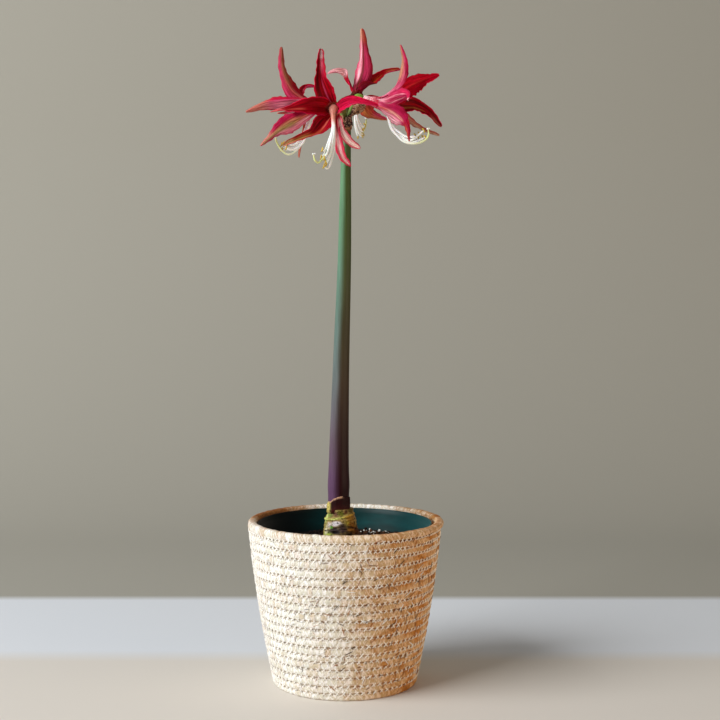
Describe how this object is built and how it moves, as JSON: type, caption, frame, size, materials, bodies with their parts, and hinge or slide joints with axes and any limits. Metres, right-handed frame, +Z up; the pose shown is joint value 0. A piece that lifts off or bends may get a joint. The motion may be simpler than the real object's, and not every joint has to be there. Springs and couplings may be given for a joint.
{
  "type": "potted amaryllis",
  "caption": "Amaryllis in bloom: slim-petalled crimson flowers on a tall stalk, its bulb in a green grower's pot of soil inside a coiled straw basket.",
  "frame": {"origin": "middle of the basket's underside, where it stands on a table", "axes": "+Z up along the stalk; -Y is the side that the plant is mostly seen from, with +X to the right"},
  "size_m": [0.1901, 0.1884, 0.6402],
  "materials": {
    "straw": "matte",
    "pot_plastic": "satin",
    "soil": "matte",
    "bulb": "satin",
    "stalk": "satin",
    "dry_bract": "matte",
    "tepal": "satin",
    "filament": "satin"
  },
  "bodies": {
    "root": {"basket": "straw", "grow_pot": "pot_plastic", "soil": "soil", "bulb": "bulb", "scape": "stalk", "spathe": "dry_bract", "bloom_front": "tepal", "stamens_front": "filament", "bloom_left": "tepal", "stamens_left": "filament", "bloom_right": "tepal", "stamens_right": "filament", "bloom_back": "tepal", "stamens_back": "filament"}
  },
  "joints": []
}
